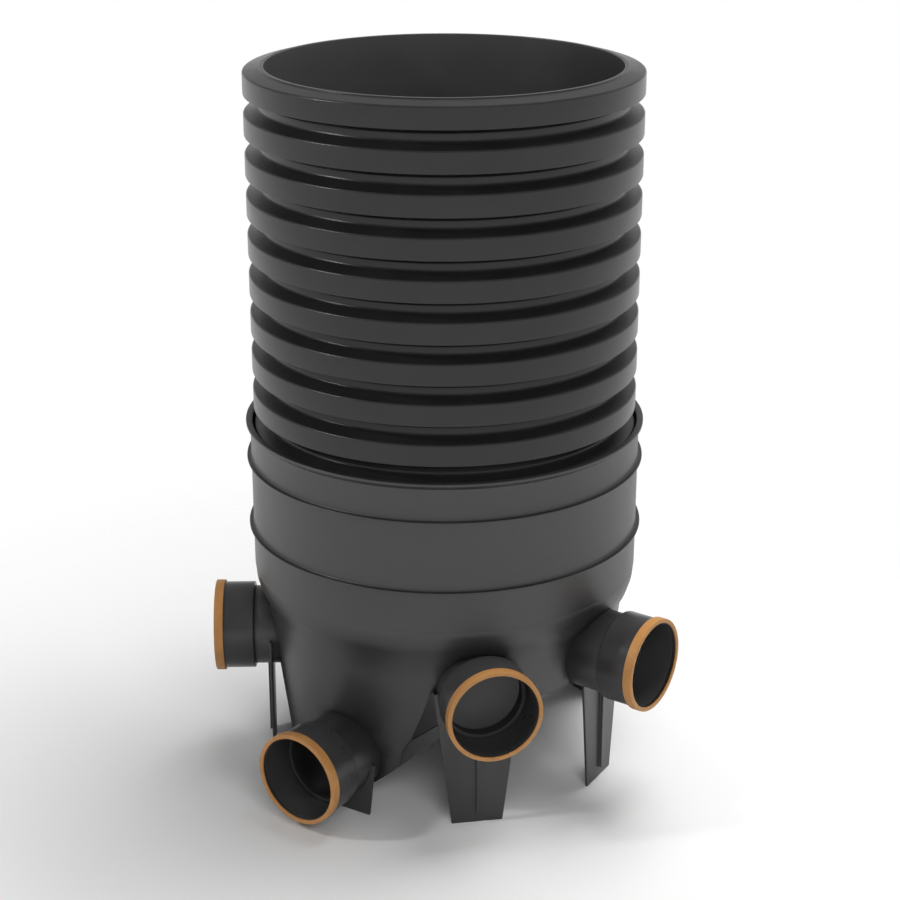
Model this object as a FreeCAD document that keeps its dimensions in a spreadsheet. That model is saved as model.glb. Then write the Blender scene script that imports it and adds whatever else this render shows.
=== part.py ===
import FreeCAD, Part
import Sketcher
import math
import os

# Drain inspection chamber.
# A corrugated riser shaft is pushed into the collar of a chamber base.
# The base is a collar, a lower body, a sloping floor and four necks that share its legs,
# all joined face to face.
# Each neck, one outlet and three inlets, carries a pipe socket, a lip seal and a snap ring.
# Frame: millimetres, +Z up, origin on the shaft's axis at the level the legs stand on.
# The side with the pipe sockets faces -Y.

App = FreeCAD
doc = App.newDocument("InspectionChamber")
sheet = doc.addObject("Spreadsheet::Sheet", "Sizes")


class Measure:
    """A size that carries both its value and the expression it is bound with."""

    def __init__(self, text, value):
        self.text = text
        self.value = value

    @staticmethod
    def of(other):
        if isinstance(other, Measure):
            return other
        return Measure("(%s)" % repr(float(other)), float(other))

    def joined(self, sign, other, value):
        return Measure("(%s %s %s)" % (self.text, sign, other.text), value)

    def __add__(self, other):
        other = Measure.of(other)
        return self.joined("+", other, self.value + other.value)

    def __sub__(self, other):
        other = Measure.of(other)
        return self.joined("-", other, self.value - other.value)

    def __mul__(self, other):
        other = Measure.of(other)
        return self.joined("*", other, self.value * other.value)

    def __truediv__(self, other):
        other = Measure.of(other)
        return self.joined("/", other, self.value / other.value)

    def __neg__(self):
        return Measure("(0 - %s)" % self.text, -self.value)


rows = []


def size(alias, value, note):
    """Writes one driving dimension to the sheet and returns it."""
    row = str(len(rows) + 1)
    rows.append(alias)
    sheet.set("A" + row, note)
    sheet.set("B" + row, str(value))
    sheet.setAlias("B" + row, alias)
    return Measure("Sizes." + alias, float(value))


# Riser shaft
crown_radius = size("crown_radius", 450, "outside of the riser's crowns")
crown_depth = size("crown_depth", 38, "how far the crowns stand out from the riser's wall")
riser_wall = size("riser_wall", 10, "riser wall between its crowns")
crown_pitch = size("crown_pitch", 91.6, "one crown to the next")
crown_face = size("crown_face", 49, "upright face of a crown")
crown_rise = size("crown_rise", 10, "how far a crown's top slopes up to the wall")
crown_drop = size("crown_drop", 10, "how far a crown's underside slopes down to the wall")
crown_count = size("crown_count", 11, "crowns on the riser")
tail_height = size("tail_height", 20.7, "cut end under the lowest crown")

# Collar of the base
seat_height = size("seat_height", 681, "ledge that the riser stands on")
seat_thick = size("seat_thick", 10, "thickness of that ledge")
seat_relief = size("seat_relief", 4, "how far the ledge stays back from the riser's bore")
collar_gap = size("collar_gap", 4, "radial clearance of the crowns in the collar")
collar_wall = size("collar_wall", 5.4, "wall of the collar")
lip_height = size("lip_height", 862, "top of the collar's lip")
lip_reach = size("lip_reach", 10, "how far the lip and the rings stand out")
lip_edge = size("lip_edge", 6, "upright edge of the lip")
mouth_chamfer = size("mouth_chamfer", 3, "lead-in chamfer inside the lip")
ring_drop = size("ring_drop", 90, "lip's top down to the upper stiffening ring")
ring_spacing = size("ring_spacing", 168, "upper stiffening ring down to the lower one")
ring_thick = size("ring_thick", 4, "thickness of a stiffening ring")

# Lower body
shoulder_height = size("shoulder_height", 502, "where the shoulder starts to turn in")
shoulder_drop = size("shoulder_drop", 82, "height of the rounded shoulder")
shoulder_inset = size("shoulder_inset", 26.4, "how far the shoulder turns in")
foot_inset = size("foot_inset", 55, "how far the lower body tapers in from the waist to the ground")
body_wall = size("body_wall", 7, "wall of the body")
floor_thick = size("floor_thick", 10, "thickness of the chamber's floor")
sump_level = size("sump_level", 12, "underside at the outlet")
sump_edge = size("sump_edge", 214, "where the ramp starts, left of the axis")
ramp_level = size("ramp_level", 228, "underside where the ramp eases")
ramp_edge = size("ramp_edge", 5, "where the ramp eases, right of the axis")
bench_level = size("bench_level", 289, "underside of the raised part of the floor")
bench_edge = size("bench_edge", 200, "where the raised part starts, right of the axis")

# Pipe sockets
pipe_radius = size("pipe_radius", 100, "outside of the pipes that the sockets take")
pipe_gap = size("pipe_gap", 0.5, "radial clearance of a pipe in a socket")
socket_wall = size("socket_wall", 5, "wall of a socket")
socket_depth = size("socket_depth", 95, "mouth of a socket to the neck's end")
socket_stop = size("socket_stop", 6, "thickness of the stop that a pipe meets")
neck_bore = size("neck_bore", 90.5, "bore of the necks")
neck_wall = size("neck_wall", 5, "wall of a neck")
neck_root = size("neck_root", 120, "how far the necks' bores reach in from the waist")
snap_width = size("snap_width", 22, "width of a snap ring")
snap_lip = size("snap_lip", 4, "lip of a snap ring over the socket's end")
snap_wall = size("snap_wall", 4.75, "wall of a snap ring's skirt")
seal_width = size("seal_width", 8, "width of a lip seal")
fit_gap = size("fit_gap", 0.25, "clearance of seals and snap rings")

# Where each pipe meets the chamber: direction, neck past the waist, axis height, sideways offset
outlet_angle = size("outlet_angle", 234, "direction of the outlet")
outlet_length = size("outlet_length", 50, "outlet's neck from the waist to its end")
outlet_level = size("outlet_level", 136, "height of the outlet's axis")
left_angle = size("left_angle", 181.5, "direction of the left inlet")
left_length = size("left_length", 32, "left inlet's neck from the waist to its end")
left_level = size("left_level", 311, "height of the left inlet's axis")
middle_angle = size("middle_angle", 285.5, "direction of the middle inlet")
middle_length = size("middle_length", 29, "middle inlet's neck from the waist to its end")
middle_level = size("middle_level", 339, "height of the middle inlet's axis")
middle_offset = size("middle_offset", -37, "sideways offset of the middle inlet")
right_angle = size("right_angle", 324.4, "direction of the right inlet")
right_length = size("right_length", 67, "right inlet's neck from the waist to its end")
right_level = size("right_level", 365, "height of the right inlet's axis")
blank_depth = size("blank_depth", 24, "middle neck's end in to the wall that closes it")
blank_thick = size("blank_thick", 4, "thickness of that wall")
channel_reach = size("channel_reach", 110, "axis to the inner end of the right channel")

# Legs
leg_inset = size("leg_inset", 3, "waist to the outer face of a leg's plate")
leg_thick = size("leg_thick", 6, "thickness of a leg's plate and rib")
leg_foot = size("leg_foot", 120, "width of a leg's plate at the ground")
leg_taper = size("leg_taper", 0.12, "how fast a leg widens upwards, each side")
leg_rib = size("leg_rib", 8, "how far the outer rib stands out")
leg_rib_lift = size("leg_rib_lift", 26, "how far the outer rib stops above the ground")
rear_leg_top = size("rear_leg_top", 420, "top of the legs that carry no neck")
left_leg_angle = size("left_leg_angle", 183, "direction of the leg under the left inlet")
outlet_leg_angle = size("outlet_leg_angle", 238, "direction of the leg under the outlet")
middle_leg_angle = size("middle_leg_angle", 280, "direction of the leg under the middle inlet")
right_leg_angle = size("right_leg_angle", 330, "direction of the leg under the right inlet")
rear_right_angle = size("rear_right_angle", 35, "direction of the rear right leg")
rear_left_angle = size("rear_left_angle", 110, "direction of the rear left leg")

sheet.recompute()

valley_radius = crown_radius - crown_depth
bore_radius = valley_radius - riser_wall
collar_bore = crown_radius + collar_gap
body_radius = collar_bore + collar_wall
waist_radius = body_radius - shoulder_inset
foot_radius = waist_radius - foot_inset
leg_reach = waist_radius - leg_inset
upper_ring = lip_height - ring_drop
lower_ring = upper_ring - ring_spacing
socket_bore = pipe_radius + pipe_gap
barrel_radius = socket_bore + socket_wall
neck_radius = neck_bore + neck_wall
first_root = seat_height + tail_height
first_crown = first_root + crown_drop + crown_face
last_crown = first_crown + crown_pitch * (crown_count - 1)
riser_top = last_crown + crown_rise
shoulder_bend = 60
shoulder_steps = 3


def corner(radius, height):
    """One corner of a profile: distance from the axis, then height."""
    return (Measure.of(radius), Measure.of(height))


def draw(sketch, corners):
    """Draws a closed profile and ties each corner to the sizes it is made of."""
    points = [App.Vector(across.value, up.value, 0) for across, up in corners]
    count = len(corners)
    for here in range(count):
        line = Part.LineSegment(points[here], points[(here + 1) % count])
        sketch.addGeometry(line, False)
    for here in range(count):
        there = (here + 1) % count
        sketch.addConstraint(Sketcher.Constraint("Coincident", here, 2, there, 1))
    for here in range(count):
        across, up = corners[here]
        tie(sketch, "DistanceX", -2, here, across)
        tie(sketch, "DistanceY", -1, here, up)


def tie(sketch, kind, axis, edge, measure):
    """Ties the start of one edge to a size, or to an axis where the size is nothing."""
    if measure.value == 0:
        sketch.addConstraint(Sketcher.Constraint("PointOnObject", edge, 1, axis))
        return
    index = sketch.addConstraint(Sketcher.Constraint(kind, -1, 1, edge, 1, measure.value))
    sketch.setExpression("Constraints[%d]" % index, measure.text)


def plane_of(body, role):
    """The body's own origin plane of that role."""
    return [f for f in body.Origin.OriginFeatures if f.Role == role][0]


def turned_body(label, corners):
    """A body whose first feature is a profile turned about its own Z axis."""
    body = doc.addObject("PartDesign::Body", label)
    add_turned(body, "PartDesign::Revolution", label + "_profile", corners)
    return body


def add_turned(body, kind, name, corners):
    """Adds or cuts a turned feature in a body."""
    sketch = body.newObject("Sketcher::SketchObject", name)
    sketch.AttachmentSupport = (plane_of(body, "XZ_Plane"), [""])
    sketch.MapMode = "FlatFace"
    draw(sketch, corners)
    feature = body.newObject(kind, name + "_turn")
    feature.Profile = sketch
    feature.ReferenceAxis = (sketch, ["V_Axis"])
    feature.Angle = 360
    sketch.Visibility = False
    return feature


def turned_part(label, corners):
    """A turned tool outside any body, for the base's own booleans."""
    sketch = doc.addObject("Sketcher::SketchObject", label + "_profile")
    sketch.Placement = App.Placement(App.Vector(), App.Rotation(App.Vector(1, 0, 0), 90))
    draw(sketch, corners)
    turned = doc.addObject("Part::Revolution", label)
    turned.Source = sketch
    turned.Axis = App.Vector(0, 0, 1)
    turned.Base = App.Vector(0, 0, 0)
    turned.Angle = 360
    turned.Solid = True
    return turned


def upright_slab(label, corners, span):
    """A block with an outline in the XZ plane, as deep as span to both sides."""
    sketch = doc.addObject("Sketcher::SketchObject", label + "_profile")
    sketch.Placement = App.Placement(App.Vector(), App.Rotation(App.Vector(1, 0, 0), 90))
    draw(sketch, corners)
    slab = doc.addObject("Part::Extrusion", label)
    slab.Base = sketch
    slab.DirMode = "Custom"
    slab.Dir = App.Vector(0, 1, 0)
    slab.Symmetric = True
    slab.Solid = True
    slab.setExpression("LengthFwd", (span * 2).text)
    return slab


def rod(label, radius, length, placement):
    """A cylinder along its own Z axis."""
    cylinder = doc.addObject("Part::Cylinder", label)
    cylinder.setExpression("Radius", radius.text)
    cylinder.setExpression("Height", length.text)
    cylinder.Placement = placement
    return cylinder


def both(kind, label, base, tool):
    """One object made of two: "Fuse" joins them, "Cut" takes the tool out of the base."""
    result = doc.addObject("Part::" + kind, label)
    result.Base = base
    result.Tool = tool
    return result


def aimed(turn, reach, level, offset):
    """A placement whose Z axis points level and outwards, at a distance from the shaft's axis."""
    angle = math.radians(turn)
    out = App.Vector(math.cos(angle), math.sin(angle), 0)
    side = App.Vector(-math.sin(angle), math.cos(angle), 0)
    base = out * reach + side * offset + App.Vector(0, 0, level)
    return App.Placement(base, App.Rotation(side, 90))


class PipeEnd:
    """Where one pipe meets the chamber."""

    def __init__(self, name, angle, length, level, offset, bore_start):
        self.name = name
        self.angle = angle
        self.neck_end = waist_radius + length
        self.level = level
        self.offset = offset
        self.bore_start = bore_start

    def at(self, distance):
        """A placement on the pipe's axis, at a distance from the shaft's axis, with Z outwards."""
        return aimed(self.angle.value, distance.value, self.level.value, self.offset.value)

    def neck_rod(self, kind, radius):
        """A rod along the neck: its outside or its bore."""
        length = self.neck_end - self.bore_start
        return rod(self.name + "_" + kind, radius, length, self.at(self.bore_start))


nothing = Measure("0", 0.0)
neck_start = waist_radius - neck_root
outlet = PipeEnd("outlet", outlet_angle, outlet_length, outlet_level, nothing, neck_start)
left_inlet = PipeEnd("left_inlet", left_angle, left_length, left_level, nothing, neck_start)
middle_inlet = PipeEnd(
    "middle_inlet", middle_angle, middle_length, middle_level, middle_offset, neck_start
)
right_inlet = PipeEnd(
    "right_inlet", right_angle, right_length, right_level, nothing, channel_reach
)
pipe_ends = [outlet, left_inlet, middle_inlet, right_inlet]


def make_riser():
    """The corrugated shaft: a smooth tube with crowns moulded round it."""
    body = turned_body("riser_shaft", [
        corner(bore_radius, seat_height),
        corner(valley_radius, seat_height),
        corner(valley_radius, riser_top),
        corner(bore_radius, riser_top),
    ])
    root = valley_radius - riser_wall / 2
    crown = add_turned(body, "PartDesign::Revolution", "crown", [
        corner(root, first_root),
        corner(valley_radius, first_root),
        corner(crown_radius, first_root + crown_drop),
        corner(crown_radius, first_crown),
        corner(valley_radius, first_crown + crown_rise),
        corner(root, first_crown + crown_rise),
    ])
    doc.recompute()
    row = body.newObject("PartDesign::LinearPattern", "crown_row")
    row.Originals = [crown]
    row.Direction = (plane_of(body, "XY_Plane"), [""])
    row.setExpression("Length", (crown_pitch * (crown_count - 1)).text)
    row.setExpression("Occurrences", crown_count.text)
    body.Tip = row
    return body


def make_shaft_seal():
    """The rubber ring in the riser's lowest valley, with a lip that meets the collar."""
    root = valley_radius + fit_gap
    tip = collar_bore - fit_gap
    low = first_crown + crown_rise
    high = first_root + crown_pitch
    third = (high - low) / 3
    return turned_body("shaft_seal", [
        corner(root, low + fit_gap),
        corner(tip, low + third),
        corner(tip, high - third),
        corner(root, high - fit_gap),
    ])


def make_collar():
    """The collar: the riser stands on its ledge, under the lip and two stiffening rings."""
    ring_radius = body_radius + lip_reach
    inner_wall = body_radius - body_wall
    ledge_radius = bore_radius + seat_relief
    corners = [
        corner(inner_wall, shoulder_height),
        corner(body_radius, shoulder_height),
    ]
    for top in (lower_ring, upper_ring):
        corners.append(corner(body_radius, top - ring_thick))
        corners.append(corner(ring_radius, top - ring_thick))
        corners.append(corner(ring_radius, top))
        corners.append(corner(body_radius, top))
    corners += [
        corner(body_radius, lip_height - lip_edge - lip_reach),
        corner(ring_radius, lip_height - lip_edge),
        corner(ring_radius, lip_height),
        corner(collar_bore + mouth_chamfer, lip_height),
        corner(collar_bore, lip_height - mouth_chamfer),
        corner(collar_bore, seat_height),
        corner(ledge_radius, seat_height),
        corner(ledge_radius, seat_height - seat_thick),
        corner(inner_wall, seat_height - seat_thick),
    ]
    return turned_body("collar", corners)


def filled_body(label, inset):
    """The lower body filled up to the collar: its taper and rounded shoulder, moved in by inset."""
    corners = [corner(nothing, nothing), corner(foot_radius - inset, nothing)]
    full_turn = 1 - math.cos(math.radians(shoulder_bend))
    full_rise = math.sin(math.radians(shoulder_bend))
    for step in range(shoulder_steps, -1, -1):
        bend = math.radians(shoulder_bend * step / shoulder_steps)
        turned_in = (1 - math.cos(bend)) / full_turn
        dropped = math.sin(bend) / full_rise
        radius = body_radius - shoulder_inset * turned_in - inset
        corners.append(corner(radius, shoulder_height - shoulder_drop * dropped))
    corners.append(corner(nothing, shoulder_height))
    return turned_part(label, corners)


def floor_line(lift):
    """The floor's line from the low side to the raised side, lifted off its underside."""
    return [
        corner(-form_reach, sump_level + lift),
        corner(-sump_edge, sump_level + lift),
        corner(ramp_edge, ramp_level + lift),
        corner(bench_edge, bench_level + lift),
        corner(form_reach, bench_level + lift),
    ]


def ground_under(label, lift):
    """Everything under a floor line, down past the ground."""
    ends = [corner(form_reach, -form_reach), corner(-form_reach, -form_reach)]
    return upright_slab(label, floor_line(lift) + ends, form_reach)


class Leg:
    """One leg: an upright plate that widens upwards, with an outer rib."""

    def __init__(self, name, angle, top):
        self.name = name
        self.angle = angle
        self.top = top

    def plate_outline(self):
        """The plate seen from outside."""
        foot = leg_foot / 2
        head = foot + self.top * leg_taper
        return [
            corner(-foot, nothing),
            corner(foot, nothing),
            corner(head, self.top),
            corner(-head, self.top),
        ]

    def make(self):
        """The plate and its rib as one object."""
        turn = App.Rotation(App.Vector(0, 0, 1), self.angle.value)
        upright = App.Rotation(
            App.Vector(0, 1, 0), App.Vector(0, 0, 1), App.Vector(1, 0, 0), "ZXY"
        )
        sketch = doc.addObject("Sketcher::SketchObject", self.name + "_profile")
        face = turn.multVec(App.Vector(leg_reach.value, 0, 0))
        sketch.Placement = App.Placement(face, turn * upright)
        draw(sketch, self.plate_outline())
        plate = doc.addObject("Part::Extrusion", self.name + "_plate")
        plate.Base = sketch
        plate.DirMode = "Custom"
        plate.Dir = turn.multVec(App.Vector(-1, 0, 0))
        plate.Solid = True
        plate.setExpression("LengthFwd", leg_thick.text)
        start = leg_reach - leg_thick / 2
        corner_point = App.Vector(start.value, -leg_thick.value / 2, leg_rib_lift.value)
        rib = doc.addObject("Part::Box", self.name + "_rib")
        rib.setExpression("Length", (leg_rib + leg_thick / 2).text)
        rib.setExpression("Width", leg_thick.text)
        rib.setExpression("Height", (self.top - leg_rib_lift).text)
        rib.Placement = App.Placement(turn.multVec(corner_point), turn)
        return both("Fuse", self.name, plate, rib)


form_reach = body_radius + lip_reach * 10
inside_form = filled_body("inside_form", body_wall)
water_room = both("Cut", "water_room", inside_form, ground_under("floor_top_form", floor_thick))
neck_rods = [end.neck_rod("rod", neck_radius) for end in pipe_ends]
neck_bores = [end.neck_rod("bore", neck_bore) for end in pipe_ends]
neck_legs = [
    Leg("outlet_leg", outlet_leg_angle, outlet_level),
    Leg("left_leg", left_leg_angle, left_level),
    Leg("middle_leg", middle_leg_angle, middle_level),
    Leg("right_leg", right_leg_angle, right_level),
]
rear_legs = [
    Leg("rear_right_leg", rear_right_angle, rear_leg_top),
    Leg("rear_left_leg", rear_left_angle, rear_leg_top),
]


def chained(kind, label, base, tools):
    """Joins or cuts the tools one after the other; the last result has the label."""
    for tool in tools:
        name = label if tool is tools[-1] else "%s_%s_%s" % (label, kind.lower(), tool.Label)
        base = both(kind, name, base, tool)
    return base


def make_lower_body():
    """The tapered wall and its shoulder, open under the floor, with the two rear legs."""
    filled = filled_body("outside_form", nothing)
    wall = both("Cut", "body_over_ground", filled, ground_under("underside_form", nothing))
    legged = chained("Fuse", "legged_body", wall, [leg.make() for leg in rear_legs])
    hollow = both("Cut", "hollow_body", legged, inside_form)
    return chained("Cut", "lower_body", hollow, neck_rods)


def make_floor():
    """The floor: low at the outlet, a ramp, a raised part, and troughs where the bores run in."""
    line = floor_line(nothing) + floor_line(floor_thick)[::-1]
    plate = upright_slab("floor_plate", line, form_reach)
    troughs = chained("Fuse", "floor_on_rods", plate, neck_rods)
    in_body = both("Common", "floor_in_body", troughs, inside_form)
    open_floor = both("Cut", "open_floor", in_body, water_room)
    return chained("Cut", "chamber_floor", open_floor, neck_bores)


def make_blank():
    """The flat wall that closes the middle inlet's neck."""
    start = middle_inlet.neck_end - blank_depth - blank_thick
    return rod("middle_blank", neck_radius, blank_thick, middle_inlet.at(start))


def make_neck(end, through, bore, leg):
    """One neck through the wall, with the leg under it and its bore, open or closed."""
    solid = both("Fuse", end.name + "_on_leg", through, leg.make())
    outer = both("Cut", end.name + "_outside", solid, inside_form)
    if end is not middle_inlet:
        return both("Cut", end.name + "_neck", outer, bore)
    drilled = both("Cut", end.name + "_drilled", outer, bore)
    return both("Fuse", end.name + "_neck", drilled, make_blank())


def make_socket(end):
    """A pipe socket: a barrel with a stop that sits on the neck's end."""
    barrel_end = socket_depth - snap_lip - seal_width
    body = turned_body(end.name + "_socket", [
        corner(neck_bore, 0),
        corner(barrel_radius, 0),
        corner(barrel_radius, barrel_end),
        corner(socket_bore, barrel_end),
        corner(socket_bore, socket_stop),
        corner(neck_bore, socket_stop),
    ])
    body.Placement = end.at(end.neck_end)
    return body


def make_lip_seal(end):
    """The rubber lip seal between the socket's end and the snap ring's lip."""
    back = socket_depth - snap_lip - seal_width
    body = turned_body(end.name + "_seal", [
        corner(barrel_radius, back),
        corner(barrel_radius, back + seal_width),
        corner(socket_bore + fit_gap / 2, back + seal_width / 2),
    ])
    body.Placement = end.at(end.neck_end)
    return body


def make_snap_ring(end):
    """The snap ring that holds the seal: a skirt over the barrel and a lip over its end."""
    skirt_bore = barrel_radius + fit_gap
    outside = skirt_bore + snap_wall
    body = turned_body(end.name + "_snap_ring", [
        corner(skirt_bore, socket_depth - snap_width),
        corner(outside, socket_depth - snap_width),
        corner(outside, socket_depth),
        corner(socket_bore, socket_depth),
        corner(socket_bore, socket_depth - snap_lip),
        corner(skirt_bore, socket_depth - snap_lip),
    ])
    body.Placement = end.at(end.neck_end)
    return body


parts = [make_riser(), make_shaft_seal(), make_collar(), make_lower_body(), make_floor()]
for pieces in zip(pipe_ends, neck_rods, neck_bores, neck_legs):
    parts.append(make_neck(*pieces))
for pipe_end in pipe_ends:
    parts.append(make_socket(pipe_end))
    parts.append(make_snap_ring(pipe_end))
lip_seals = doc.addObject("Part::Compound", "lip_seals")
lip_seals.Links = [make_lip_seal(pipe_end) for pipe_end in pipe_ends]
parts.append(lip_seals)
solid_counts = {lip_seals.Label: len(pipe_ends)}

doc.recompute()

for item in doc.Objects:
    state = [s for s in item.State if s in ("Invalid", "Error")]
    if state:
        raise RuntimeError("%s failed: %s" % (item.Label, state))

os.makedirs("parts", exist_ok=True)
for part in parts:
    shape = part.Shape
    wanted = solid_counts.get(part.Label, 1)
    if shape.isNull() or not shape.isValid() or len(shape.Solids) != wanted:
        raise RuntimeError("%s is not %d valid solid" % (part.Label, wanted))
    shape.exportStep("parts/%s.step" % part.Label)
    print("%-24s volume %10.1f cm3" % (part.Label, shape.Volume / 1000))
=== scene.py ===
"""Drain inspection chamber: finishes, rounded edges, light and camera round the fixed CAD frame."""

from __future__ import annotations

import logging
import math
from dataclasses import dataclass, field
from enum import Enum

import bpy
from mathutils import Matrix, Vector


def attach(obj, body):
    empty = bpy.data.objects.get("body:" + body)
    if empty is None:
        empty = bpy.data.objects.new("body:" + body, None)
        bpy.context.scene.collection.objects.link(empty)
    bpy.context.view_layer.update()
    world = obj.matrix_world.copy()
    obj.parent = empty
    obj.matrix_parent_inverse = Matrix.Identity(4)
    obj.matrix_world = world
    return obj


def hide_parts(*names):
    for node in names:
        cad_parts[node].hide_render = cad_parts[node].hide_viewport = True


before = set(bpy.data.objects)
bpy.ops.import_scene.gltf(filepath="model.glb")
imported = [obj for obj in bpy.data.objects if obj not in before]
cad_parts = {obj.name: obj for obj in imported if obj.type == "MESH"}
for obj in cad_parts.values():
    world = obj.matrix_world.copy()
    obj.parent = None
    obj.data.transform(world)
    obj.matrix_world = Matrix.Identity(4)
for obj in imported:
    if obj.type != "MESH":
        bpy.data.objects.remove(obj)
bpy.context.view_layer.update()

logging.basicConfig(level=logging.INFO, format="%(message)s")
log = logging.getLogger("chamber")

MM = 0.001
Colour = tuple[float, float, float]
Pair = tuple[float, float]
Corner = tuple[float, float, float]


class Operation(Enum):
    """What a Math node does with its values."""

    ADD = "ADD"
    SUBTRACT = "SUBTRACT"
    MULTIPLY = "MULTIPLY"


class Wire:
    """A node's output socket with arithmetic: an expression on wires adds its Math nodes."""

    def __init__(self, board: Board, socket: bpy.types.NodeSocket) -> None:
        """Keeps the socket and the board it belongs to.

        Args:
            board: The node board that new nodes are added to.
            socket: The output socket.
        """
        self.board = board
        self.socket = socket

    def math(self, operation: Operation, *values: Wire | float) -> Wire:
        """Adds one Math node.

        Args:
            operation: What the node does.
            values: What its sockets hold, in order.

        Returns:
            The node's output.
        """
        return self.board.add(
            "ShaderNodeMath", {"operation": operation.value}, dict(enumerate(values))
        )

    def __add__(self, other: Wire | float) -> Wire:
        """Sum."""
        return self.math(Operation.ADD, self, other)

    def __radd__(self, other: float) -> Wire:
        """Sum with a number on the left."""
        return self.math(Operation.ADD, other, self)

    def __sub__(self, other: Wire | float) -> Wire:
        """Difference."""
        return self.math(Operation.SUBTRACT, self, other)

    def __rsub__(self, other: float) -> Wire:
        """Difference with a number on the left."""
        return self.math(Operation.SUBTRACT, other, self)

    def __mul__(self, other: Wire | float) -> Wire:
        """Product."""
        return self.math(Operation.MULTIPLY, self, other)

    def __rmul__(self, other: float) -> Wire:
        """Product with a number on the left."""
        return self.math(Operation.MULTIPLY, other, self)

    def over(self, band: Pair) -> Wire:
        """A smooth step from 0 at a band's low end to 1 at its high end.

        Args:
            band: Where the step starts and where it ends.

        Returns:
            The step's value.
        """
        low, high = band
        return self.board.add(
            "ShaderNodeMapRange",
            {"interpolation_type": "SMOOTHSTEP"},
            {"Value": self, "From Min": low, "From Max": high},
        )

    def clamped(self) -> Wire:
        """The value held between 0 and 1."""
        return self.board.add("ShaderNodeClamp", {}, {"Value": self})


@dataclass(frozen=True)
class Noise:
    """Soft random variation: its waves for each metre, its finer layers and their strength."""

    scale: float
    detail: float
    roughness: float = 0.5


NOISE_MEAN = 0.5


@dataclass(frozen=True)
class Tone:
    """A lighter or darker form of a colour: each channel times gain, plus lift."""

    gain: float
    lift: float = 0.0

    def of(self, colour: Colour) -> Colour:
        """The changed colour."""
        return tuple(channel * self.gain + self.lift for channel in colour)


class Board:
    """The node tree of one material or world."""

    # The socket numbers of a Mix node that mixes colours.
    MIX_FACTOR, MIX_FIRST, MIX_SECOND, MIX_RESULT = 0, 6, 7, 2

    def __init__(self, tree: bpy.types.NodeTree) -> None:
        """Empties the tree.

        Args:
            tree: The node tree to fill.
        """
        self.tree = tree
        self.tree.nodes.clear()

    def node(self, kind: str, settings: dict[str, object], values: dict) -> bpy.types.Node:
        """Adds any node: its settings first, then what its sockets hold.

        Args:
            kind: The node's type.
            settings: Its settings by attribute name.
            values: Values or wires by socket name or number.

        Returns:
            The node.
        """
        node = self.tree.nodes.new(kind)
        for name, value in settings.items():
            setattr(node, name, value)
        for key, value in values.items():
            socket = node.inputs[key]
            if isinstance(value, Wire):
                self.tree.links.new(value.socket, socket)
            else:
                socket.default_value = value
        return node

    def add(
        self, kind: str, settings: dict[str, object], values: dict, output: str | int = 0
    ) -> Wire:
        """Adds any node and returns one of its outputs.

        Args:
            kind: The node's type.
            settings: Its settings by attribute name.
            values: Values or wires by socket name or number.
            output: The name or number of the output.

        Returns:
            The output as a wire.
        """
        node = self.node(kind, settings, values)
        return Wire(self, node.outputs[output])

    def colours(self, factor: Wire, first: Wire | Colour, second: Wire | Colour) -> Wire:
        """Mixes two colours.

        Args:
            factor: 0 gives the first colour, 1 gives the second.
            first: The first colour.
            second: The second colour.

        Returns:
            The mixed colour.
        """
        ends = [c if isinstance(c, Wire) else (*c, 1.0) for c in (first, second)]
        return self.add(
            "ShaderNodeMix",
            {"data_type": "RGBA", "blend_type": "MIX", "clamp_factor": True},
            {self.MIX_FACTOR: factor, self.MIX_FIRST: ends[0], self.MIX_SECOND: ends[1]},
            self.MIX_RESULT,
        )

    def place(self) -> Wire:
        """The point's place in the part's own frame, in metres."""
        return self.add("ShaderNodeTexCoord", {}, {}, "Object")

    def scaled(self, vector: Wire, by: Corner) -> Wire:
        """Stretches a vector.

        Args:
            vector: The vector.
            by: The factor along each axis.

        Returns:
            The stretched vector.
        """
        return self.add("ShaderNodeVectorMath", {"operation": "MULTIPLY"}, {0: vector, 1: by})

    def length(self, vector: Wire) -> Wire:
        """The length of a vector."""
        return self.add("ShaderNodeVectorMath", {"operation": "LENGTH"}, {0: vector}, "Value")

    def height(self, vector: Wire) -> Wire:
        """The Z of a vector."""
        return self.add("ShaderNodeSeparateXYZ", {}, {0: vector}, "Z")

    def noise(self, vector: Wire, kind: Noise) -> Wire:
        """Soft random variation between 0 and 1.

        Args:
            vector: Where the noise is read.
            kind: Its waves and finer layers.

        Returns:
            The noise's value.
        """
        return self.add(
            "ShaderNodeTexNoise",
            {"noise_dimensions": "3D"},
            {
                "Vector": vector,
                "Scale": kind.scale,
                "Detail": kind.detail,
                "Roughness": kind.roughness,
            },
        )

    def bump(self, height: Wire, strength: float, distance: float) -> Wire:
        """A bumped normal.

        Args:
            height: The height, from 0 to 1.
            strength: How strongly it shows.
            distance: The height of 1, in metres.

        Returns:
            The normal.
        """
        return self.add(
            "ShaderNodeBump", {}, {"Strength": strength, "Distance": distance, "Height": height}
        )


@dataclass(frozen=True)
class Finish:
    """A finish that all pieces of one kind share."""

    name: str
    colour: Colour
    roughness: float

    def material(self) -> bpy.types.Material:
        """Makes the material.

        Returns:
            The new material.
        """
        made = bpy.data.materials.new(self.name)
        made.use_nodes = True
        board = Board(made.node_tree)
        shader = self.shade(board)
        board.node("ShaderNodeOutputMaterial", {}, {"Surface": shader})
        return made

    def shade(self, board: Board) -> Wire:
        """Builds the nodes.

        Args:
            board: The material's node board.

        Returns:
            The surface shader.
        """
        raise NotImplementedError


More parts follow.
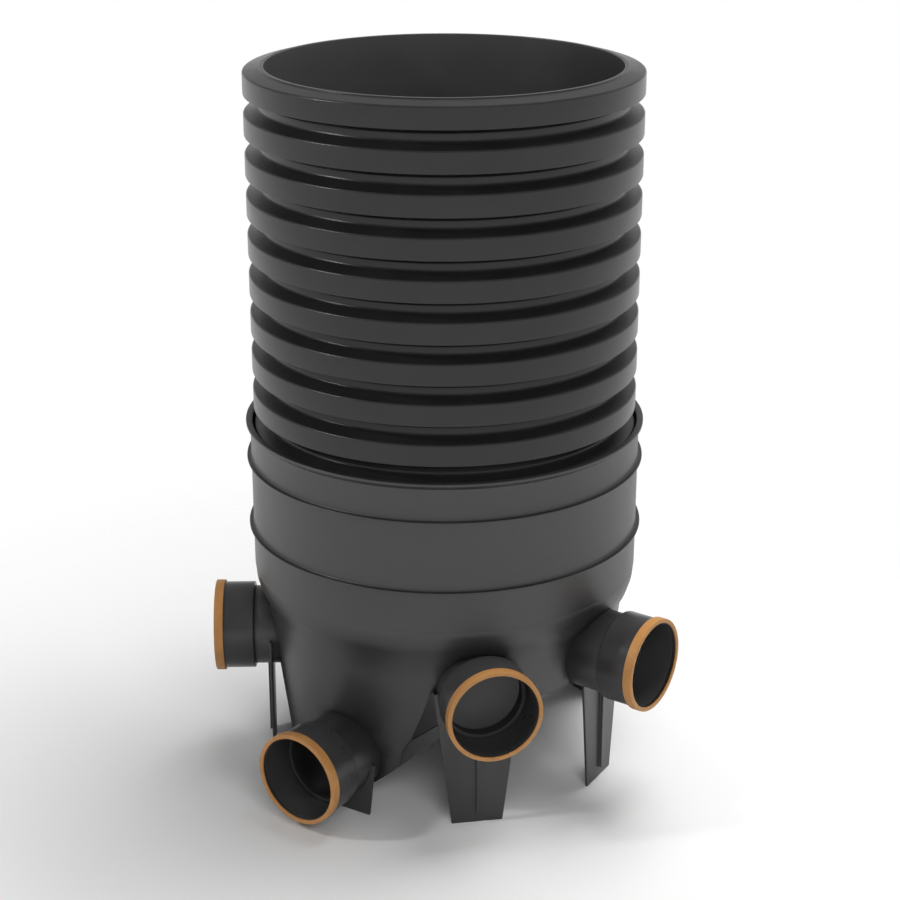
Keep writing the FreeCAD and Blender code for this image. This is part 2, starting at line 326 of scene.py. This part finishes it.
@dataclass(frozen=True)
class MouldedPlastic(Finish):
    """Black moulded plastic with faint clouds, flow lines, fine grain and scuffs, and a bore
    painted lighter.

    The scuffs are long scratches that show where the clouds are pale. The wall of a bore about the
    Z axis gets a lighter colour, painted light that stands for the light falling inside the bore. A
    finish without that colour has none.
    """

    gloss: float
    scuffs: float
    grain: float = 0.18
    flow: Corner = (1.0, 1.0, 1.0)
    # Painted light: the lighter colour of the bore's wall inside this radius stands for the light
    # inside the bore.
    painted_bore_light: Colour | None = None
    painted_light_radius: float = 0.403
    painted_light_blur: float = 0.0005
    painted_light_pale: Tone = Tone(1.2)
    pale: Tone = Tone(1.9, 0.002)
    dusty: Tone = Tone(2.6, 0.008)
    clouds: Noise = Noise(7.0, 4.0, 0.6)
    cloud_band: Pair = (0.3, 0.75)
    cloud_tint: float = 0.35
    cloud_roughness: float = 0.14
    lines: Noise = Noise(40.0, 2.0)
    line_roughness: float = 0.08
    line_height: float = 0.25
    skin: Noise = Noise(1400.0, 2.0)
    scratches: Noise = Noise(60.0, 5.0, 0.7)
    scratch_run: Corner = (0.35, 0.35, 9.0)
    scratch_band: Pair = (0.62, 0.72)
    scuffed_clouds: Pair = (0.45, 0.62)
    scuff_tint: float = 0.35
    scuff_roughness: float = 0.2
    bump_strength: float = 0.25
    bump_height: float = 0.0006

    def shade(self, board: Board) -> Wire:
        """Builds the plastic.

        Args:
            board: The material's node board.

        Returns:
            The surface shader.
        """
        place = board.place()
        clouds = board.noise(place, self.clouds)
        cloudy = clouds.over(self.cloud_band) * self.cloud_tint
        lines = board.noise(board.scaled(place, self.flow), self.lines)
        grain = board.noise(place, self.skin)
        scratches = board.noise(board.scaled(place, self.scratch_run), self.scratches)
        scuff = (scratches.over(self.scratch_band) * clouds.over(self.scuffed_clouds)).clamped()
        tint = board.colours(cloudy, self.colour, self.pale.of(self.colour))
        dusty = self.dusty.of(self.colour)
        tint = board.colours(scuff * (self.scuff_tint * self.scuffs), tint, dusty)
        # Painted light: inside the bore's radius the colour turns lighter, pipe holding that
        # lighter colour, to stand for the lit inside of the bore.
        if self.painted_bore_light:
            radius = board.length(board.scaled(place, (1.0, 1.0, 0.0)))
            edge = (self.painted_light_radius - self.painted_light_blur, self.painted_light_radius + self.painted_light_blur)
            pipe = board.colours(cloudy, self.painted_bore_light, self.painted_light_pale.of(self.painted_bore_light))
            tint = board.colours(1.0 - radius.over(edge), tint, pipe)
        rough = (
            self.roughness
            + (clouds - NOISE_MEAN) * self.cloud_roughness
            + (lines - NOISE_MEAN) * self.line_roughness
            + scuff * (self.scuff_roughness * self.scuffs)
        )
        height = grain * self.grain + lines * self.line_height
        return board.add(
            "ShaderNodeBsdfPrincipled",
            {},
            {
                "Base Color": tint,
                "Roughness": rough.clamped(),
                "Specular IOR Level": self.gloss,
                "Normal": board.bump(height, self.bump_strength, self.bump_height),
            },
        )


@dataclass(frozen=True)
class RingPlastic(Finish):
    """Orange-brown plastic with a matt moulded skin and faint speckle."""

    deep: Colour
    clouds: Noise = Noise(30.0, 4.0, 0.6)
    cloud_band: Pair = (0.3, 0.75)
    cloud_tint: float = 0.45
    cloud_roughness: float = 0.2
    speckles: Noise = Noise(420.0, 2.0)
    speckle_band: Pair = (0.6, 0.7)
    speckle_tint: float = 0.16
    skin: Noise = Noise(1600.0, 2.0)
    grain: float = 0.5
    bump_strength: float = 0.2
    bump_height: float = 0.0005

    def shade(self, board: Board) -> Wire:
        """Builds the plastic.

        Args:
            board: The material's node board.

        Returns:
            The surface shader.
        """
        place = board.place()
        clouds = board.noise(place, self.clouds)
        cloudy = clouds.over(self.cloud_band) * self.cloud_tint
        speckle = board.noise(place, self.speckles).over(self.speckle_band)
        height = board.noise(place, self.skin) * self.grain + clouds
        tint = board.colours(cloudy, self.colour, self.deep)
        tint = board.colours(speckle * self.speckle_tint, tint, self.deep)
        rough = self.roughness + (clouds - NOISE_MEAN) * self.cloud_roughness
        return board.add(
            "ShaderNodeBsdfPrincipled",
            {},
            {
                "Base Color": tint,
                "Roughness": rough.clamped(),
                "Normal": board.bump(height, self.bump_strength, self.bump_height),
            },
        )


@dataclass(frozen=True)
class SealRubber(Finish):
    """Matt black rubber with a fine bloom."""

    pale: Tone = Tone(2.5, 0.01)
    bloom: Noise = Noise(55.0, 4.0, 0.65)
    bloom_band: Pair = (0.45, 0.75)
    bloom_tint: float = 0.4
    bloom_roughness: float = 0.15
    skin: Noise = Noise(1800.0, 1.0)
    bump_strength: float = 0.2
    bump_height: float = 0.0004

    def shade(self, board: Board) -> Wire:
        """Builds the rubber.

        Args:
            board: The material's node board.

        Returns:
            The surface shader.
        """
        place = board.place()
        bloom = board.noise(place, self.bloom)
        pale = self.pale.of(self.colour)
        tint = board.colours(bloom.over(self.bloom_band) * self.bloom_tint, self.colour, pale)
        rough = self.roughness + (bloom - NOISE_MEAN) * self.bloom_roughness
        grain = board.noise(place, self.skin)
        return board.add(
            "ShaderNodeBsdfPrincipled",
            {},
            {
                "Base Color": tint,
                "Roughness": rough.clamped(),
                "Normal": board.bump(grain, self.bump_strength, self.bump_height),
            },
        )


@dataclass(frozen=True)
class StudioFloor(Finish):
    """Pale floor that fades into the white background away from the object."""

    gloss: float
    fade: Pair = (1.0, 2.0)
    clouds: Noise = Noise(2.0, 3.0)
    shaded: Tone = Tone(0.995)

    def shade(self, board: Board) -> Wire:
        """Builds the floor.

        Args:
            board: The material's node board.

        Returns:
            The surface shader.
        """
        place = board.place()
        clouds = board.noise(place, self.clouds)
        tint = board.colours(clouds, self.colour, self.shaded.of(self.colour))
        lit = board.add(
            "ShaderNodeBsdfPrincipled",
            {},
            {"Base Color": tint, "Roughness": self.roughness, "Specular IOR Level": self.gloss},
        )
        clear = board.add("ShaderNodeBsdfTransparent", {}, {})
        faded = board.length(place).over(self.fade)
        return board.add("ShaderNodeMixShader", {}, {0: faded, 1: lit, 2: clear})


SHAFT = MouldedPlastic(
    "shaft_black",
    (0.018, 0.018, 0.0183),
    0.31,
    gloss=0.45,
    scuffs=0.25,
    flow=(0.4, 0.4, 14.0),
    # The lighter bore colour is painted light for the lit inside of the shaft.
    painted_bore_light=(0.05, 0.05, 0.051),
)
BASE = MouldedPlastic(
    "base_black", (0.018, 0.018, 0.0184), 0.42, gloss=0.85, scuffs=0.3, flow=(5.0, 5.0, 0.6)
)
SOCKET = MouldedPlastic(
    "socket_black", (0.044, 0.044, 0.0447), 0.3, gloss=0.4, scuffs=0.0, grain=0.0
)
RING = RingPlastic("ring_orange", (0.60, 0.29, 0.095), 0.5, deep=(0.42, 0.195, 0.06))
RUBBER = SealRubber("seal_black", (0.012, 0.012, 0.012), 0.6)
FLOOR = StudioFloor("studio_floor", (0.93, 0.93, 0.93), 0.8, gloss=0.1)

# The largest share of a side that the rounding of one corner takes.
SHARE_OF_SIDE = 0.49


@dataclass
class Profile:
    """A closed outline; each corner has its distance from the axis, height and rounding, in mm."""

    corners: list[Corner]
    steps: int = 5

    def rounded(self) -> list[Pair]:
        """The outline with an arc in place of each rounded corner.

        Returns:
            The outline's points.
        """
        points: list[Pair] = []
        count = len(self.corners)
        for here, (x, y, radius) in enumerate(self.corners):
            spot = Vector((x, y))
            before = Vector(self.corners[here - 1][:2]) - spot
            after = Vector(self.corners[(here + 1) % count][:2]) - spot
            if radius <= 0:
                points.append((x, y))
                continue
            half = before.angle(after) / 2
            room = min(before.length * SHARE_OF_SIDE, after.length * SHARE_OF_SIDE)
            back = min(radius / math.tan(half), room)
            radius = back * math.tan(half)
            first, last = spot + before.normalized() * back, spot + after.normalized() * back
            inward = (before.normalized() + after.normalized()).normalized()
            centre = spot + inward * (radius / math.sin(half))
            start, end = first - centre, last - centre
            turn = start.angle_signed(end)
            for step in range(self.steps + 1):
                swing = -turn * step / self.steps
                points.append(tuple(centre + Matrix.Rotation(swing, 2) @ start))
        return points


@dataclass
class TurnedPiece:
    """A piece made by turning a rounded profile about an axis."""

    name: str
    profile: Profile
    around: int
    place: Matrix = field(default_factory=lambda: Matrix.Identity(4))
    crease: float = 40.0

    def build(self) -> bpy.types.Object:
        """Makes the mesh in the part's frame.

        Returns:
            The new object.
        """
        outline = self.profile.rounded()
        size = len(outline)
        points = []
        for turn in range(self.around):
            angle = 2 * math.pi * turn / self.around
            for radius, height in outline:
                spot = Vector((radius * math.cos(angle), radius * math.sin(angle), height)) * MM
                points.append(self.place @ spot)
        faces = []
        for turn in range(self.around):
            here, there = turn * size, ((turn + 1) % self.around) * size
            for step in range(size):
                further = (step + 1) % size
                faces.append((here + step, there + step, there + further, here + further))
        mesh = bpy.data.meshes.new(self.name)
        mesh.from_pydata(points, [], faces)
        mesh.validate()
        mesh.shade_smooth()
        mesh.set_sharp_from_angle(angle=math.radians(self.crease))
        made = bpy.data.objects.new(self.name, mesh)
        bpy.context.scene.collection.objects.link(made)
        return made


def dress(made: bpy.types.Object, finish: bpy.types.Material) -> None:
    """Puts one material on every slot of an object.

    Args:
        made: The object.
        finish: The material.
    """
    if not made.material_slots:
        made.data.materials.append(finish)
    for slot in made.material_slots:
        slot.material = finish


def stand_in(made: bpy.types.Object, node: str, finish: bpy.types.Material) -> None:
    """Lets a piece stand for a CAD node, in that node's finish.

    Args:
        made: The piece.
        node: The CAD node it stands for.
        finish: The material.
    """
    dress(made, finish)
    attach(made, "root")
    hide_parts(node)
    log.info("piece %s for node %s: %d faces", made.name, node, len(made.data.polygons))


@dataclass
class RiserShaft:
    """The corrugated shaft with its rounded crowns, in mm."""

    crown_radius: float = 450.0
    valley_radius: float = 412.0
    bore_radius: float = 402.0
    foot: float = 681.0
    first_root: float = 701.7
    pitch: float = 91.6
    face: float = 49.0
    slope: float = 10.0
    crowns: int = 11
    rim: float = 3.0
    top_round: float = 5.0
    face_round: float = 2.2
    root_round: float = 8.5
    rim_round: float = 1.6
    foot_round: float = 1.0
    around: int = 256

    def outline(self) -> Profile:
        """The shaft's wall in section.

        Returns:
            The profile.
        """
        corners: list[Corner] = [
            (self.bore_radius, self.foot, self.foot_round),
            (self.valley_radius, self.foot, self.foot_round),
        ]
        end = self.foot
        for crown in range(self.crowns):
            root = self.first_root + crown * self.pitch
            low, high = root + self.slope, root + self.slope + self.face
            end = high + self.slope
            topmost = crown == self.crowns - 1
            rim, fillet = (self.rim, self.rim) if topmost else (0.0, self.root_round)
            corners += [
                (self.valley_radius, root, self.root_round),
                (self.crown_radius, low, self.face_round),
                (self.crown_radius, high, self.top_round),
                (self.valley_radius, end - rim, fillet),
            ]
        corners.append((self.valley_radius, end, self.rim_round))
        corners.append((self.bore_radius, end, self.rim_round))
        return Profile(corners)

    def build(self, finish: bpy.types.Material) -> None:
        """Makes the shaft and lets it stand for its CAD node.

        Args:
            finish: The shaft's material.
        """
        made = TurnedPiece("shaft_wall", self.outline(), self.around).build()
        stand_in(made, "riser_shaft", finish)


@dataclass
class PipeEnd:
    """One pipe socket with its snap ring, in mm; the place is that of the socket's back face."""

    name: str
    turn: float
    reach: float
    level: float
    offset: float = 0.0
    depth: float = 95.0
    bore: float = 100.5
    barrel: float = 105.5
    stop_bore: float = 90.5
    stop: float = 6.0
    groove_bore: float = 97.5
    groove_foot: float = 1.5
    barrel_length: float = 83.0
    ring_bore: float = 105.75
    ring_radius: float = 110.5
    ring_width: float = 22.0
    ring_lip: float = 4.0
    edge_round: float = 0.6
    back_round: float = 2.4
    groove_round: float = 0.4
    stop_round: float = 0.8
    stop_mouth_round: float = 1.2
    ring_edge_round: float = 0.5
    ring_back_round: float = 1.2
    ring_front_round: float = 2.2
    ring_mouth_round: float = 1.4
    ring_seat_round: float = 0.3
    around: int = 144

    def place(self) -> Matrix:
        """Where the socket's back face is, with Z out of the mouth.

        Returns:
            The placement in metres.
        """
        angle = math.radians(self.turn)
        out = Vector((math.cos(angle), math.sin(angle), 0))
        side = Vector((-math.sin(angle), math.cos(angle), 0))
        spot = out * (self.reach - self.depth) + side * self.offset + Vector((0, 0, self.level))
        turned = Matrix((side.cross(out), side, out)).transposed()
        return Matrix.Translation(spot * MM) @ turned.to_4x4()

    def socket(self) -> Profile:
        """The socket's wall in section.

        Returns:
            The profile.
        """
        return Profile([
            (self.stop_bore, 0, self.edge_round),
            (self.barrel, 0, self.back_round),
            (self.barrel, self.barrel_length, self.edge_round),
            (self.bore, self.barrel_length, self.edge_round),
            (self.bore, self.groove_foot, self.groove_round),
            (self.groove_bore, self.groove_foot, self.groove_round),
            (self.groove_bore, self.stop, self.stop_round),
            (self.stop_bore, self.stop, self.stop_mouth_round),
        ])

    def ring(self) -> Profile:
        """The snap ring in section.

        Returns:
            The profile.
        """
        back, lip = self.depth - self.ring_width, self.depth - self.ring_lip
        return Profile([
            (self.ring_bore, back, self.ring_edge_round),
            (self.ring_radius, back, self.ring_back_round),
            (self.ring_radius, self.depth, self.ring_front_round),
            (self.bore, self.depth, self.ring_mouth_round),
            (self.bore, lip, self.ring_edge_round),
            (self.ring_bore, lip, self.ring_seat_round),
        ])

    def build(self, black: bpy.types.Material, orange: bpy.types.Material) -> None:
        """Makes the socket and the ring.

        Args:
            black: The socket's material.
            orange: The snap ring's material.
        """
        for ending, profile, node, slot, finish in (
            ("_barrel", self.socket(), "_socket", "socket_plastic", black),
            ("_ring", self.ring(), "_snap_ring", "ring_plastic", orange),
        ):
            made = TurnedPiece(self.name + ending, profile, self.around, self.place()).build()
            stand_in(made, self.name + node, finish)


@dataclass(frozen=True)
class SoftEdges:
    """Rounds a CAD node's sharp edges and smooths its gentle ones, with modifiers only.

    Edges sharper than the crease, in degrees, are the sharp ones. Lengths are in metres.
    """

    crease: float = 32.0
    joined: float = 0.00002
    rounding: float = 0.0012
    segments: int = 2

    def apply(self, node: bpy.types.Object) -> None:
        """Adds the modifiers.

        Args:
            node: The CAD node.
        """
        node.data.shade_smooth()
        weld = node.modifiers.new("joined", "WELD")
        weld.merge_threshold = self.joined
        soft = node.modifiers.new("rounded", "BEVEL")
        soft.limit_method, soft.angle_limit = "ANGLE", math.radians(self.crease)
        soft.width, soft.segments, soft.use_clamp_overlap = self.rounding, self.segments, True
        split = node.modifiers.new("creases", "EDGE_SPLIT")
        split.split_angle = math.radians(self.crease)


@dataclass
class ChamberBase:
    """The chamber's base: a turned collar over the moulded lower body, and the seals; in mm."""

    ring_radius: float = 469.4
    wall_radius: float = 459.4
    inner_wall: float = 452.4
    bore: float = 454.0
    ledge: float = 406.0
    foot: float = 502.0
    seat: float = 681.0
    seat_thick: float = 10.0
    lip: float = 862.0
    lip_edge: float = 6.0
    lead_in: float = 3.0
    ring_thick: float = 4.0
    ring_tops: Pair = (604.0, 772.0)
    ring_edge: float = 1.4
    under_ring: float = 2.0
    over_ring: float = 3.0
    lip_slope_foot: float = 3.0
    lip_round: float = 2.0
    lip_mouth_round: float = 1.2
    edge_round: float = 1.5
    seat_fillet: float = 4.0
    around: int = 256
    steps: int = 4
    moulded: tuple[str, ...] = (
        "lower_body",
        "chamber_floor",
        "outlet_neck",
        "left_inlet_neck",
        "middle_inlet_neck",
        "right_inlet_neck",
    )
    edges: SoftEdges = SoftEdges()

    def collar(self) -> Profile:
        """The collar's wall in section, with its two rings, lip and ledge.

        Returns:
            The profile.
        """
        corners: list[Corner] = [
            (self.inner_wall, self.foot, 0.0),
            (self.wall_radius, self.foot, 0.0),
        ]
        for top in self.ring_tops:
            corners += [
                (self.wall_radius, top - self.ring_thick, self.under_ring),
                (self.ring_radius, top - self.ring_thick, self.ring_edge),
                (self.ring_radius, top, self.ring_edge),
                (self.wall_radius, top, self.over_ring),
            ]
        lip_foot = self.lip - self.lip_edge
        slope_foot = lip_foot - self.ring_radius + self.wall_radius
        seat_foot = self.seat - self.seat_thick
        corners += [
            (self.wall_radius, slope_foot, self.lip_slope_foot),
            (self.ring_radius, lip_foot, self.edge_round),
            (self.ring_radius, self.lip, self.lip_round),
            (self.bore + self.lead_in, self.lip, self.lip_mouth_round),
            (self.bore, self.lip - self.lead_in, self.edge_round),
            (self.bore, self.seat, self.edge_round),
            (self.ledge, self.seat, self.edge_round),
            (self.ledge, seat_foot, self.edge_round),
            (self.inner_wall, seat_foot, self.seat_fillet),
        ]
        return Profile(corners, self.steps)

    def build(self, black: bpy.types.Material, rubber: bpy.types.Material) -> None:
        """Makes the collar, softens and dresses the moulded nodes, and dresses the seals.

        Args:
            black: The base's material.
            rubber: The seals' material.
        """
        made = TurnedPiece("collar_wall", self.collar(), self.around).build()
        stand_in(made, "collar", black)
        for name in self.moulded:
            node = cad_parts[name]
            self.edges.apply(node)
            dress(node, black)
            log.info("node %s: %d faces", name, len(node.data.polygons))
        for name in ("shaft_seal", "lip_seals"):
            dress(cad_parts[name], rubber)
            log.info("node %s dressed", name)


@dataclass
class LegWeb:
    """The web from the wall to the left edge of the middle inlet's leg, with its band, in mm.

    The heights on the leg and the turns and heights on the wall run from the web's top downwards.
    """

    leg_turn: float = 280.0
    leg_reach: float = 430.0
    leg_half: float = 60.0
    leg_taper: float = 0.12
    foot_radius: float = 378.0
    waist_radius: float = 433.0
    waist_height: float = 420.0
    on_leg: Corner = (345.0, 262.0, 228.0)
    on_wall: tuple[Pair, ...] = ((265.6, 330.0), (258.6, 197.0), (255.9, 165.0), (254.8, 123.0))
    step: float = 4.0
    thick: float = 7.0
    rounding: float = 1.2
    segments: int = 3
    crease: float = 30.0

    def at_leg(self, height: float) -> Vector:
        """A point on the left edge of the leg's plate.

        Args:
            height: Its height.

        Returns:
            The point.
        """
        angle = math.radians(self.leg_turn)
        half = self.leg_half + self.leg_taper * height
        out = Vector((math.cos(angle), math.sin(angle), 0))
        side = Vector((math.sin(angle), -math.cos(angle), 0))
        return out * self.leg_reach + side * half + Vector((0, 0, height))

    def at_wall(self, turn: float, height: float) -> Vector:
        """A point on the wall's outside.

        Args:
            turn: Its direction in degrees.
            height: Its height.

        Returns:
            The point.
        """
        angle = math.radians(turn)
        widening = self.waist_radius - self.foot_radius
        radius = self.foot_radius + widening * height / self.waist_height
        return Vector((radius * math.cos(angle), radius * math.sin(angle), height))

    def slab(
        self, name: str, outside: list[Vector], lift: float, black: bpy.types.Material
    ) -> None:
        """Makes one flat slab with rounded edges.

        Args:
            name: The piece's name.
            outside: The corners of its outer face.
            lift: How far the outer face stands out.
            black: The material.
        """
        outward = [Vector((p.x, p.y, 0)).normalized() for p in outside]
        front = [p + o * lift for p, o in zip(outside, outward)]
        back = [p - o * self.thick for p, o in zip(outside, outward)]
        count = len(outside)
        around = [(k, k + count, (k + 1) % count + count, (k + 1) % count) for k in range(count)]
        faces = [tuple(range(count)), tuple(reversed(range(count, 2 * count))), *around]
        mesh = bpy.data.meshes.new(name)
        mesh.from_pydata([p * MM for p in front + back], [], faces)
        mesh.validate()
        made = bpy.data.objects.new(name, mesh)
        bpy.context.scene.collection.objects.link(made)
        bevel = made.modifiers.new("rounded", "BEVEL")
        bevel.width, bevel.segments = self.rounding * MM, self.segments
        mesh.shade_smooth()
        mesh.set_sharp_from_angle(angle=math.radians(self.crease))
        dress(made, black)
        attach(made, "root")
        log.info("piece %s: %d faces", name, len(mesh.polygons))

    def build(self, black: bpy.types.Material) -> None:
        """Makes the web and the band under it.

        Args:
            black: The base's material.
        """
        high, middle, low = (self.at_leg(height) for height in self.on_leg)
        apex, bend, knee, foot = (self.at_wall(*spot) for spot in self.on_wall)
        self.slab("leg_web", [apex, bend, middle, high], 0.0, black)
        self.slab("leg_web_band", [bend, knee, foot, low, middle], self.step, black)


@dataclass
class Lamp:
    """One soft rectangular lamp that points at the object; mirrored says if gloss shows it."""

    name: str
    spot: Corner
    size: Pair
    power: float
    aim: Corner
    mirrored: bool = False

    def build(self) -> None:
        """Makes the lamp."""
        light = bpy.data.lights.new(self.name, "AREA")
        light.shape = "RECTANGLE"
        light.size, light.size_y = self.size
        light.energy = self.power
        made = bpy.data.objects.new(self.name, light)
        made.visible_glossy = self.mirrored
        made.location = self.spot
        ahead = Vector(self.aim) - Vector(self.spot)
        made.rotation_euler = ahead.to_track_quat("-Z", "Y").to_euler()
        bpy.context.scene.collection.objects.link(made)
        log.info("lamp %s", self.name)


@dataclass
class Studio:
    """Floor, lamps, surroundings and camera."""

    floor_radius: float = 8.0
    camera_spot: Corner = (0.0, -4.470, 2.463)
    camera_yaw: float = 0.0029
    camera_pitch: float = 0.3632
    lens: float = 80.0
    sensor: float = 36.0
    fill: float = 0.09
    horizon: Pair = (0.02, 0.22)
    ceiling: float = 0.4
    lamps: tuple[Lamp, ...] = (
        Lamp("lamp_above", (1.3, 1.1, 4.9), (3.6, 3.4), power=272.0, aim=(0.5, 0.4, 0.0)),
        Lamp("lamp_front", (0.9, -4.4, 3.2), (2.6, 2.0), power=85.0, aim=(0.0, 0.0, 0.9)),
        Lamp(
            "lamp_left",
            (-3.8, -1.2, 3.4),
            (0.35, 0.5),
            power=45.0,
            aim=(0.0, 0.0, 1.1),
            mirrored=True,
        ),
    )

    def floor(self) -> None:
        """Makes the floor."""
        r = self.floor_radius
        mesh = bpy.data.meshes.new("floor")
        mesh.from_pydata([(-r, -r, 0), (r, -r, 0), (r, r, 0), (-r, r, 0)], [], [(0, 1, 2, 3)])
        made = bpy.data.objects.new("floor", mesh)
        bpy.context.scene.collection.objects.link(made)
        dress(made, FLOOR.material())

    @staticmethod
    def glow(board: Board, strength: Wire | float) -> Wire:
        """White light of a given strength."""
        white = {"Color": (1.0, 1.0, 1.0, 1.0), "Strength": strength}
        return board.add("ShaderNodeBackground", {}, white)

    def surroundings(self) -> None:
        """Makes the world: a low even light, and white where it is seen or mirrored.

        What is mirrored from above the horizon is greyer, as under a studio's ceiling.
        """
        world = bpy.data.worlds.new("surroundings")
        bpy.context.scene.world = world
        world.use_nodes = True
        board = Board(world.node_tree)
        rays = board.node("ShaderNodeLightPath", {}, {})
        seen, mirrored, through = (
            Wire(board, rays.outputs[name])
            for name in ("Is Camera Ray", "Is Glossy Ray", "Is Transmission Ray")
        )
        upward = board.height(board.add("ShaderNodeTexCoord", {}, {}, "Generated"))
        studio = 1.0 - upward.over(self.horizon) * (1.0 - self.ceiling)
        light, mirror = self.glow(board, self.fill), self.glow(board, studio)
        reflected = (mirrored + through).clamped()
        soft = board.add("ShaderNodeMixShader", {}, {0: reflected, 1: light, 2: mirror})
        white = self.glow(board, 1.0)
        mixed = board.add("ShaderNodeMixShader", {}, {0: seen, 1: soft, 2: white})
        board.node("ShaderNodeOutputWorld", {}, {"Surface": mixed})

    def camera(self) -> None:
        """Makes the camera at the photograph's place and angle, with no shift or depth of field."""
        data = bpy.data.cameras.new("camera")
        data.lens = self.lens
        data.sensor_width = self.sensor
        made = bpy.data.objects.new("camera", data)
        level, pitch = math.cos(self.camera_pitch), math.sin(self.camera_pitch)
        yaw = self.camera_yaw
        ahead = Vector((math.sin(yaw) * level, math.cos(yaw) * level, -pitch))
        made.location = self.camera_spot
        made.rotation_euler = ahead.to_track_quat("-Z", "Y").to_euler()
        bpy.context.scene.collection.objects.link(made)
        bpy.context.scene.camera = made

    def build(self) -> None:
        """Makes the whole studio."""
        self.floor()
        self.surroundings()
        self.camera()
        for lamp in self.lamps:
            lamp.build()
        bpy.context.scene.view_settings.view_transform = "Standard"


def main() -> None:
    """Builds every piece in order."""
    base_black, socket_black = BASE.material(), SOCKET.material()
    orange, rubber = RING.material(), RUBBER.material()
    RiserShaft().build(SHAFT.material())
    ChamberBase().build(base_black, rubber)
    LegWeb().build(base_black)
    for end in (
        PipeEnd("outlet", turn=234.0, reach=578.0, level=136.0),
        PipeEnd("left_inlet", turn=181.5, reach=560.0, level=311.0),
        PipeEnd("middle_inlet", turn=285.5, reach=557.0, level=339.0, offset=-37.0),
        PipeEnd("right_inlet", turn=324.4, reach=595.0, level=365.0),
    ):
        end.build(socket_black, orange)
    Studio().build()


if __name__ == "__main__":
    main()
